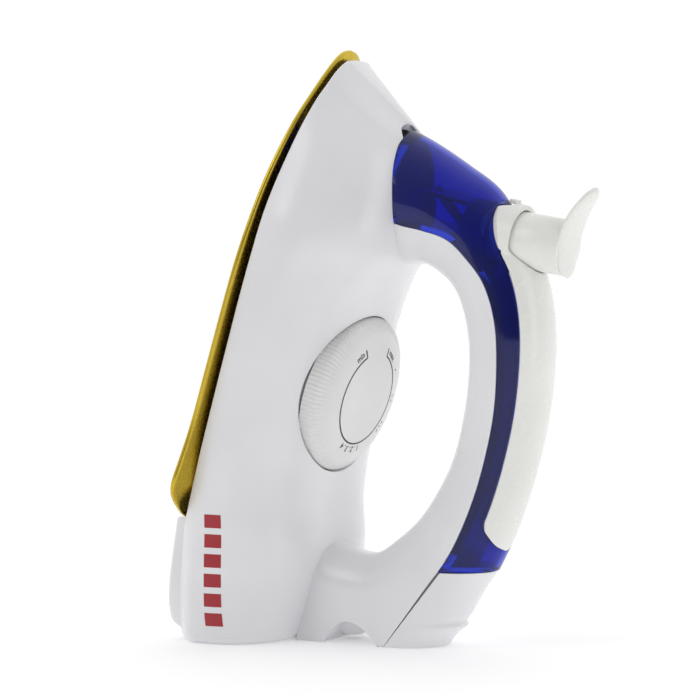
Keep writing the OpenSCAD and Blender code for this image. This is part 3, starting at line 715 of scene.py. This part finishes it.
def closedTube(rings):
    # a tube of rings with a flat fan at each end
    rows, columns = rings.shape[:2]
    points = np.concatenate([rings.reshape(-1, 3), rings[0].mean(0)[None], rings[-1].mean(0)[None]])
    i = np.arange(columns)
    j = (i + 1) % columns
    start = np.stack([np.full(columns, rows * columns), i, j], -1)
    end = np.stack([start[:, 0] + 1, (rows - 1) * columns + j, (rows - 1) * columns + i], -1)
    return points, [gridFaces(rows, columns, closeColumns=True), start, end]


outer, outerFaces = closedTube(tankShell(0.0, tankFloor))
addMesh("water_tank_shell", standUp(outer), outerFaces, tankBlue, slot="tank_blue",
        replaces=["water_tank"])
innerPoints, innerFaces = closedTube(tankShell(handleShape["tankWall"], tankFloor + 2.2)[6:])
hollow = addMesh("tank_hollow", standUp(innerPoints), innerFaces, tankBlue, slot="tank_blue")
hollow.data.flip_normals()
print("tank made")

# Pump, grip cover, rear cap, dial and sole
pump = {"at": (122.0, 153.3), "tilt": 7.0, "collarReach": 18.9}
pumpCos, pumpSin = math.cos(math.radians(pump["tilt"])), math.sin(math.radians(pump["tilt"]))


def onPump(points):
    # pump's own x towards the heel side, y across and w outwards, to the iron's millimetres
    x, y, w = points[..., 0], points[..., 1], points[..., 2]
    h, a = pump["at"][0] + w * pumpCos + x * pumpSin, pump["at"][1] + w * pumpSin - x * pumpCos
    return np.stack([h, y, a], -1)


def fromPump(points):
    h, a = points[..., 0] - pump["at"][0], points[..., 2] - pump["at"][1]
    return np.stack([h * pumpSin - a * pumpCos, points[..., 1], h * pumpCos + a * pumpSin], -1)


def coverArc(k, c):
    # outer face of the grip cover: the handle's ellipse out to the cover's angle
    _, _, p, q = stationFrame(k)
    reach = np.radians(smoothTable(handleShape["coverAngle"], k))
    return handlePoint(k, p * np.cos(reach * c), q * np.sin(reach * c))


def coverKeep(points):
    local = fromPump(points)
    return np.hypot(local[..., 0], local[..., 1]) - pump["collarReach"]


coverRows = np.unique(np.concatenate([np.linspace(3.3, 3.9, 50), np.linspace(3.9, 9.9, 130),
                                      np.linspace(9.9, 10.42, 40)]))
coverColumns = np.linspace(-1, 1, 61)
params, tris, border = trimSurface(coverArc, coverRows, coverColumns, coverKeep)
collect(coverArc(params[:, 0], params[:, 1]), tris)
for side in (-1, 1):
    edge = coverArc(coverRows, side + 0 * coverRows)
    keep = coverKeep(edge) > 0
    edge = edge[keep]
    middle, out, _, _ = stationFrame(coverRows[keep])
    down = np.stack([out[:, 0], 0 * out[:, 0], out[:, 1]], -1)
    strip = np.stack([edge, edge - down * 0.25 - [0, side * 0.12, 0], edge - down * 1.2 - [0, side * 0.3, 0]])
    collect(strip, gridFaces(3, len(edge)))
finishMoulding("grip_cover_shell", gripAbs, slot="grip_ivory", replaces=["grip_cover"], smooth=50)

print("cover made")

capShape = {
    "outer": [[0, 47.5], [3.4, 49.6], [6.5, 53.1], [8.8, 56], [11, 55.6], [14, 57.9], [24.6, 64.2],
              [33, 70.2]],
    "innerFoot": 26.7, "innerRise": 0.809, "halfWidth": 18.0, "footRound": 0.8, "topRound": 0.35,
}


def capRings():
    # D shaped rings: flat towards the heel, half an ellipse outwards, drawn in at both ends
    levels = np.concatenate([1 - np.cos(np.linspace(0, math.pi / 2, 6)), np.linspace(1.3, 32.4, 90),
                             32.65 + 0.35 * np.sin(np.linspace(0, math.pi / 2, 6))])
    z = np.clip(levels, 0, 33)[:, None]
    low, high = np.clip(1 - z, 0, 1), np.clip(z - 32.65, 0, 0.35) / 0.35
    shrink = capShape["footRound"] * quarterDrop(low) + capShape["topRound"] * quarterDrop(high)
    x0 = capShape["innerFoot"] + capShape["innerRise"] * z + shrink
    x1 = smoothTable(capShape["outer"], z) - shrink
    w = capShape["halfWidth"] - 0.009 * z - shrink
    turn = np.linspace(-math.pi / 2, math.pi / 2, 81)[None, :]
    curve = np.stack([x0 + (x1 - x0) * np.cos(turn), w * np.sin(turn), z + 0 * turn], -1)
    back = np.stack(np.broadcast_arrays(x0 + 0 * z, w * np.linspace(0.98, -0.98, 9)[None, :], z), -1)
    return np.concatenate([curve, back], 1)


capPoints, capFaces = closedTube(capRings())
addMesh("rear_cap_moulding", (capPoints + [stance["heelX"], 0, 0]) / 1000, capFaces, whiteAbs,
        slot="white_abs", replaces=["rear_cap"])


# Grip cover's collar: heights along the pump's axis over circles round it
def coverHeight(x, y):
    # how far out along the pump's axis the handle's outer face lies, found by halving
    lo, hi = np.full(x.shape, -60.0), np.full(x.shape, 30.0)
    for _ in range(22):
        w = (lo + hi) / 2
        point = onPump(np.stack([x, y, w], -1)).reshape(-1, 3)
        _, along, p, q = sectionAt(point, 2.2, 9)
        outside = ((along / p) ** 2 + (point[:, 1] / q) ** 2 > 1).reshape(x.shape)
        lo, hi = np.where(outside, lo, w), np.where(outside, w, hi)
    return (lo + hi) / 2


collar = {"bore": 12.15, "mouth": 0.6, "flat": 12.9, "outer": 14.3, "rim": -18.6, "round": 0.9, "blend": 2.6,
          "reach": 19.0, "steep": 7.0, "wall": 9.0}


def collarHeight(radius, angle):
    x, y = radius * np.cos(angle), radius * np.sin(angle)
    base = coverHeight(x, y)
    # the rim, rounded off as a parabola and then falling steeply, joined to the handle's face
    beyond = radius - collar["outer"]
    wall = collar["rim"] - np.maximum(beyond + collar["round"], 0) ** 2 / 2
    wall = np.where(beyond > 0, wall - beyond * collar["steep"], wall)
    gapToWall = (base - wall) / collar["blend"]
    high = np.maximum(base, wall) + collar["blend"] * 0.25 * np.maximum(1 - np.abs(gapToWall), 0) ** 2
    mouth = collar["mouth"]
    high = high - mouth * quarterDrop(1 - (radius - collar["bore"]) / mouth)
    fade = easeStep(radius, collar["reach"] - 1.5, collar["reach"])
    return high * (1 - fade) + base * fade


def withinCover(points):
    # positive inside the grip cover's outline on the handle's face
    k, along, p, q = sectionAt(points, 2.2, 9)
    angle = np.degrees(np.arctan2(np.abs(points[:, 1]) / q, along / p))
    reach = smoothTable(handleShape["coverAngle"], k)
    return np.minimum(reach - angle, k - handleShape["coverFrom"])


collarA = np.linspace(0, 2 * math.pi, 180, endpoint=False)
# how far out from the axis the cover's outline lies in each direction
near, far = np.full(len(collarA), 11.0), np.full(len(collarA), collar["reach"])
for _ in range(16):
    mid = (near + far) / 2
    x, y = mid * np.cos(collarA), mid * np.sin(collarA)
    good = withinCover(onPump(np.stack([x, y, coverHeight(x, y)], -1))) > 0
    near, far = np.where(good, mid, near), np.where(good, far, mid)
seamR = np.maximum(near, 11.9)
seamBase = coverHeight(seamR * np.cos(collarA), seamR * np.sin(collarA))
rimR = np.concatenate([collar["bore"] + collar["mouth"] * (1 - np.cos(np.linspace(0, math.pi / 2, 7))),
                       np.linspace(collar["flat"], collar["outer"], 10)])
rimR = np.broadcast_to(rimR[:, None], (len(rimR), len(collarA)))
rimH = collarHeight(rimR, np.broadcast_to(collarA, rimR.shape))
part = np.linspace(0, 1, 34)[1:, None]
# where the outline is wider than the collar the skin runs down and out to it; where it is narrower the
# collar's wall drops straight, then turns under to the outline
outer = collar["outer"]
outR = outer + (np.maximum(seamR, outer + 0.1) - outer) * part ** 1.6
outH = collarHeight(outR, np.broadcast_to(collarA, outR.shape))
wallEnd = np.minimum(seamBase + (outer - seamR) * 1.2, rimH[-1])
fall, under = np.clip(part / 0.6, 0, 1), np.clip((part - 0.6) / 0.4, 0, 1)
underR = outer + (seamR - outer) * under
underH = rimH[-1] + (wallEnd - rimH[-1]) * fall + (seamBase - 0.3 - wallEnd) * under
wider = easeStep(seamR, 14.0, 14.8)
skinR, skinH = outR * wider + underR * (1 - wider), outH * wider + underH * (1 - wider)
skinR, skinH = np.concatenate([rimR, skinR]), np.concatenate([rimH, skinH])
collarPoints = onPump(np.stack([skinR * np.cos(collarA), skinR * np.sin(collarA), skinH], -1))
boreWall = np.stack([collarPoints[0], collarPoints[0] - np.array([pumpCos, 0, pumpSin]) * collar["wall"]])
collect(collarPoints, gridFaces(len(skinR), len(collarA), closeColumns=True))
collect(boreWall, gridFaces(2, len(collarA), closeColumns=True))
finishMoulding("grip_collar", gripAbs, slot="grip_ivory", smooth=50)


# Spray plunger: round cap with a leaf shaped thumb pad
plunger = {
    "padStart": 12.3, "padLength": 39.0, "thickness": 2.1,
    "middle": [[0, 4.4], [0.12, 3.2], [0.3, 2.6], [0.5, 3.0], [0.7, 5.2], [0.88, 8.8], [1, 11.6]],
    "halfWidth": [[0, 0.5], [0.04, 4.2], [0.15, 8], [0.35, 10.2], [0.6, 9.8], [0.85, 7.2], [0.96, 4],
                  [1, 0.5]],
    "barrel": [[0.0, -30.2], [10.4, -30.6], [11.4, -31.0], [11.75, -30.6], [11.75, 2.0], [11.3, 2.8],
               [0.0, 2.8]],
}
barrel = np.array(plunger["barrel"])
turnAngle = np.linspace(0, 2 * math.pi, 128, endpoint=False)
barrelR, barrelW = barrel[:, :1], barrel[:, 1:]
barrelRings = np.stack([barrelR * np.cos(turnAngle), barrelR * np.sin(turnAngle), barrelW + 0 * turnAngle], -1)
f = 0.5 - 0.5 * np.cos(np.linspace(0, math.pi, 61))[:, None]
phi = np.linspace(0, 2 * math.pi, 72, endpoint=False)[None, :]
half = smoothTable(plunger["halfWidth"], f) * np.where((f <= 0) | (f >= 1), 0.02, 1)
thick = plunger["thickness"] * np.sqrt(np.clip(1 - (2 * f - 1) ** 8, 0, 1))
before, after = np.clip(f - 0.01, 0, 1), np.clip(f + 0.01, 0, 1)
slopeW = smoothTable(plunger["middle"], after) - smoothTable(plunger["middle"], before)
slopeX = -plunger["padLength"] * (after - before)
slopeLength = np.hypot(slopeW, slopeX)
padX = plunger["padStart"] - plunger["padLength"] * f + thick * np.sin(phi) * slopeW / slopeLength
padW = smoothTable(plunger["middle"], f) - thick * np.sin(phi) * slopeX / slopeLength
padRings = np.stack(np.broadcast_arrays(padX, -half * np.cos(phi), padW), -1)
padPoints, padFaces = closedTube(padRings)
barrelCount = barrelRings.reshape(-1, 3).shape[0]
plungerPoints = np.vstack([onPump(barrelRings).reshape(-1, 3), onPump(padPoints)])
addMesh("plunger_moulding", standUp(plungerPoints),
        [gridFaces(len(barrel), 128, closeColumns=True)] + [block + barrelCount for block in padFaces],
        gripAbs, body="plunger", slot="grip_ivory", replaces=["spray_plunger"], smooth=60)
print("cap, collar and plunger made")

# Sole
sole = {
    "middle": 97, "halfLength": 108,
    "halfWidth": [[-11, 0], [-9, 20], [-4.7, 38], [0.9, 47.8], [7.1, 54.6], [13, 56.5], [22, 55.2],
                  [39, 52.8], [63, 52], [87, 51.3], [111, 50.1], [132, 46.8], [150, 42], [172, 31.9],
                  [189, 19.8], [198, 12.4], [202, 8.2], [204.2, 4.4], [205, 0]],
    # how far in from the outline and how high over the face
    "edge": [[3, 0], [1.1, 0], [0.55, 0.12], [0.18, 0.45], [0, 0.9], [0, 1.5], [0.2, 2.0], [0.7, 2.35],
             [1.6, 2.5], [4.5, 3.2], [8, 4.6], [10, 5.7], [11.5, 6.0]],
}
placeA = sole["middle"] - sole["halfLength"] * np.cos(np.linspace(0, math.pi, 181))
halfW = smoothTable(sole["halfWidth"], placeA)
halfW[[0, -1]] = 0
# the outline goes up one side and down the other, and two smoothing passes round its ends
outlineA = np.concatenate([placeA, placeA[-2:0:-1]])
outlineY = np.concatenate([halfW, -halfW[-2:0:-1]])
for _ in range(2):
    outlineA = (np.roll(outlineA, 1) + 2 * outlineA + np.roll(outlineA, -1)) / 4
    outlineY = (np.roll(outlineY, 1) + 2 * outlineY + np.roll(outlineY, -1)) / 4
stepA = np.roll(outlineA, -1) - np.roll(outlineA, 1)
stepY = np.roll(outlineY, -1) - np.roll(outlineY, 1)
stepSize = np.hypot(stepA, stepY)
inA, inY = stepY / stepSize, -stepA / stepSize
turnIn = np.sign(((sole["middle"] - outlineA) * inA - outlineY * inY).sum())
inset, level = np.array(sole["edge"])[:, :1], np.array(sole["edge"])[:, 1:]
soleRings = np.stack([level + 0 * outlineA, outlineY + turnIn * inset * inY,
                      outlineA + turnIn * inset * inA], -1)
solePoints, soleFaces = closedTube(soleRings)
addMesh("sole_casting", standUp(solePoints), soleFaces, goldSole, slot="gold_sole", replaces=["soleplate"])

# Dial
dial = {
    "ribs": 112, "ribDepth": 0.42, "ribFade": 27.5,
    "profile": [[30, 0.1], [33.9, 0.1], [34.45, 0.5], [34.5, 1.2], [34.5, 5.2], [34.4, 6.0], [34.0, 6.8],
                [33.2, 7.6], [31, 8.9], [28, 10.2], [24, 11.3], [20, 12.0], [15, 12.45], [10, 12.7],
                [5, 12.78], [0.01, 12.8]],
}
profile = np.array(dial["profile"])
fine = np.linspace(0, len(profile) - 1, 76)
profileR = smoothTable(np.stack([np.arange(len(profile)), profile[:, 0]], -1), fine)
profileH = smoothTable(np.stack([np.arange(len(profile)), profile[:, 1]], -1), fine)
dialA = np.linspace(0, 2 * math.pi, dial["ribs"] * 8, endpoint=False)
depth = dial["ribDepth"] * easeStep(profileR, dial["ribFade"], 33.5) * easeStep(profileH, 0.3, 1.2)
valley = depth[:, None] * (0.5 + 0.5 * np.cos(dialA * dial["ribs"]))
dialR = profileR[:, None] - valley
dialH = dialPlace["base"] + profileH[:, None] - 0.5 * valley
dialRings = np.stack([dialH, dialR * np.sin(dialA), dialPlace["along"] + dialR * np.cos(dialA)], -1)
addMesh("dial_moulding", standUp(dialRings), [gridFaces(len(fine), len(dialA), closeColumns=True)],
        dialAbs, body="dial", slot="dial_white", replaces=["dial_knob"], smooth=60)


def domeHeight(radius):
    # the dial's profile from its shoulder inwards, read from the middle out
    return dialPlace["base"] + smoothTable(profile[:5:-1], radius)


def onDial(radius, turn):
    # just over the dial's face: turn is counted from the nose's direction, positive towards -Y
    return np.stack([domeHeight(radius) + 0.05, -radius * np.sin(turn),
                     dialPlace["along"] + radius * np.cos(turn)], -1)


prints = {"ring": 20.5, "line": 0.75, "gap": 24.0, "tick": 3.6, "word": 3.7, "bold": 0.09,
          "wordRadius": 22.0, "dots": (23.2, 24.1), "dotHalf": 0.02, "dotStep": 5.5}
printPoints, printFaces = [], []


def stripOnDial(radii, turns):
    count = sum(len(p) for p in printPoints)
    r, t = np.meshgrid(radii, turns, indexing="ij")
    printPoints.append(onDial(r, t).reshape(-1, 3))
    printFaces.append(gridFaces(len(radii), len(turns), first=count))


gapTurn = math.radians(prints["gap"])
stripOnDial(prints["ring"] + np.array([-0.5, 0.5]) * prints["line"],
            np.linspace(gapTurn, 2 * math.pi - gapTurn, 200))
for side in (-1, 1):
    width = prints["line"] / prints["ring"] / 2
    stripOnDial(np.linspace(prints["ring"], prints["ring"] + prints["tick"], 6),
                side * gapTurn + np.array([-width, width]))
# one, two and three dots down the dial's side
for dots, turnDegrees in enumerate((60, 96, 132), start=1):
    for step in range(dots):
        centre = math.radians(-turnDegrees + prints["dotStep"] * step)
        stripOnDial(np.linspace(*prints["dots"], 3), centre + np.array([-1, 1]) * prints["dotHalf"])


def wordOnDial(word, turnDegrees):
    # letters as a flat outline, made mesh, then bent round the dial's axis
    curve = bpy.data.curves.new("letters", "FONT")
    curve.body, curve.size, curve.align_x, curve.fill_mode = word, prints["word"], "CENTER", "FRONT"
    curve.offset = prints["bold"]
    holder = bpy.data.objects.new("letters", curve)
    bpy.context.scene.collection.objects.link(holder)
    bpy.context.view_layer.update()
    flat = holder.evaluated_get(bpy.context.evaluated_depsgraph_get()).to_mesh()
    places = np.zeros(len(flat.vertices) * 3)
    flat.vertices.foreach_get("co", places)
    places = places.reshape(-1, 3)
    count = sum(len(p) for p in printPoints)
    radius = prints["wordRadius"]
    printPoints.append(onDial(radius + places[:, 1], math.radians(turnDegrees) - places[:, 0] / (radius + 1)))
    printFaces.extend([np.array([list(polygon.vertices)]) + count for polygon in flat.polygons])
    holder.evaluated_get(bpy.context.evaluated_depsgraph_get()).to_mesh_clear()
    bpy.data.objects.remove(holder)


wordOnDial("min", 35)
wordOnDial("max", -36)
wordOnDial("1 . 2 . 3 . 4", 172)
addMesh("dial_print", standUp(np.vstack(printPoints)), printFaces, blackInk, body="dial", slot="dial_white",
        smooth=60, tidy=False)
print("sole and dial made")

# Red bars printed on the tail's side
bars = {"xFrom": -68.2, "xTo": -60.2, "zTop": 55.8, "step": 8.4, "tall": 5.7, "count": 6, "lift": 0.06}


def bodySide(h, a):
    # half width of the body at a point of its side view: the section through the point is found by
    # halving, then the section's superellipse gives the width
    lo, hi = np.full(h.shape, -60.0), np.full(h.shape, 203.0)
    b = bodyShape
    for _ in range(30):
        e = (lo + hi) / 2
        h0 = edgeHeight(e)
        ta = e + smoothTable(b["topShift"], e)
        h1 = smoothTable(b["topHeight"], ta)
        past = e + (ta - e) * (h - h0) / (h1 - h0) > a
        lo, hi = np.where(past, lo, e), np.where(past, e, hi)
    w1 = smoothTable(b["skirtWidth"], e) + smoothTable(b["sideBulge"], e)
    p = smoothTable(b["fullness"], ta)
    part = np.clip((h - h0 - b["flank"]) / (h1 - h0 - b["flank"]), 0, 1)
    return w1 * (1 - part ** p) ** (1 / p)


barPoints, barFaces = [], []
for number in range(bars["count"]):
    x, z = np.meshgrid(np.linspace(bars["xFrom"], bars["xTo"], 14),
                       bars["zTop"] - bars["step"] * number - np.linspace(0, bars["tall"], 8), indexing="ij")
    h, a = layDown(x, z)
    barFaces.append(gridFaces(14, 8, first=sum(len(p) for p in barPoints)))
    barPoints.append(np.stack([h, -bodySide(h, a) - bars["lift"], a], -1).reshape(-1, 3))
addMesh("red_bars", standUp(np.vstack(barPoints)), barFaces, redInk, slot="white_abs", tidy=False)

# Block that closes the body behind the sole
rear = {"outline": [[-50, 10.2], [-47.5, 7.2], [-36, 4.0], [-4, -0.4]], "halfWidth": 45.2, "corner": 3.0,
        "round": 2.0, "gap": 1.6, "end": -49.8, "tuck": 1.2, "inside": 0.8}
rearY = rear["halfWidth"] * np.sin(np.linspace(-math.pi / 2, math.pi / 2, 91))
# the block's upper edge follows the sole's rear curve
soleRear = np.array(sole["halfWidth"])[:6]
frontA = smoothTable(soleRear[:, ::-1], np.abs(rearY)) - rear["gap"]
part = np.concatenate([[0, 0, 0.004, 0.012, 0.03], np.linspace(0.05, 0.97, 50), [0.985, 0.996, 1, 1]])[:, None]
rearA = frontA + (rear["end"] - frontA) * part
face = smoothTable(np.array(rear["outline"]), rearA)
top = edgeHeight(rearA) + rear["tuck"]
# quarter circles round the face off towards both ends and both sides
fromEnd = np.minimum(frontA - rearA, rearA - rear["end"])
fromSide = rear["halfWidth"] - np.abs(rearY)
rearH = (face + rear["round"] * quarterDrop(1 - fromEnd / rear["round"])
         + rear["corner"] * quarterDrop(1 - fromSide / rear["corner"]))
rearH[[0, -1]], rearH[:, [0, -1]] = top[[0, -1]], top[:, [0, -1]]
rearH = np.minimum(rearH, np.maximum(top, face + 0.1))
# the block narrows with the skirt, just inside it
narrow = np.minimum(1, (smoothTable(bodyShape["skirtWidth"], rearA) - rear["inside"]) / rear["halfWidth"])
collect(np.stack([rearH, rearY * narrow, rearA], -1), gridFaces(len(part), len(rearY)))
finishMoulding("rear_block", whiteAbs, slot="white_abs", replaces=["rear_underside_cover"], smooth=35)
print("rear block made")


# Camera, floor and light
cameraSet = {"azimuth": 30.0, "elevation": 2.7, "distance": 1.25, "target": (-0.0261, 0, 0.1245),
             "lens": 149.14}
cam = bpy.data.objects.new("camera", bpy.data.cameras.new("camera"))
bpy.context.scene.collection.objects.link(cam)
az, el = math.radians(cameraSet["azimuth"]), math.radians(cameraSet["elevation"])
back = Vector((math.sin(az) * math.cos(el), -math.cos(az) * math.cos(el), math.sin(el)))
cam.location = Vector(cameraSet["target"]) + back * cameraSet["distance"]
cam.rotation_euler = back.to_track_quat("Z", "Y").to_euler()
cam.data.lens, cam.data.sensor_width = cameraSet["lens"], 36.0
cam.data.clip_start, cam.data.clip_end = 0.05, 50
bpy.context.scene.camera = cam

floorMaterial, floorTree = newMaterial("pale studio floor")
floorShader = addNode(floorTree, "ShaderNodeBsdfPrincipled",
                      {"Base Color": linear("#F6F6F7"), "Roughness": 0.7, "Emission Color": (1, 1, 1, 1),
                       "Emission Strength": 0.22})
addNode(floorTree, "ShaderNodeOutputMaterial", None, {"Surface": (floorShader, "BSDF")})
floorMesh = bpy.data.meshes.new("floor")
floorMesh.from_pydata([(-6, -6, 0), (6, -6, 0), (6, 6, 0), (-6, 6, 0)], [], [(0, 1, 2, 3)])
floor = bpy.data.objects.new("floor", floorMesh)
floor.location.z = -0.0002
floorMesh.materials.append(floorMaterial)
bpy.context.scene.collection.objects.link(floor)

world = bpy.data.worlds.new("studio")
world.use_nodes = True
# white room, dimmer on the side the camera stands on, so that white plastic reads against white
roomTree = world.node_tree
roomCoords = addNode(roomTree, "ShaderNodeTexCoord")
facing = addNode(roomTree, "ShaderNodeVectorMath", {"operation": "DOT_PRODUCT"}, {0: (roomCoords, "Generated")})
facing.inputs[1].default_value = (0.5, -0.85, -0.15)
level = addNode(roomTree, "ShaderNodeMapRange",
                {"From Min": -0.3, "From Max": 0.9, "To Min": 1.04, "To Max": 0.2}, {"Value": (facing, "Value")})
room = roomTree.nodes["Background"]
room.inputs["Color"].default_value = (1, 1, 1, 1)
roomTree.links.new(level.outputs["Result"], room.inputs["Strength"])
bpy.context.scene.world = world
bpy.context.scene.view_settings.view_transform = "Standard"


def softbox(name, place, size, power):
    light = bpy.data.lights.new(name, "AREA")
    light.shape, light.size, light.size_y, light.energy = "RECTANGLE", size[0], size[1], power
    lamp = bpy.data.objects.new(name, light)
    lamp.location = place
    lamp.rotation_euler = (Vector(place) - Vector((0, 0, 0.12))).to_track_quat("Z", "Y").to_euler()
    bpy.context.scene.collection.objects.link(lamp)


softbox("key", (-0.7, -1.2, 1.1), (0.5, 0.9), 2.6)
softbox("fill", (1.3, -0.3, 0.5), (0.4, 1.2), 2.2)
print("stage made")
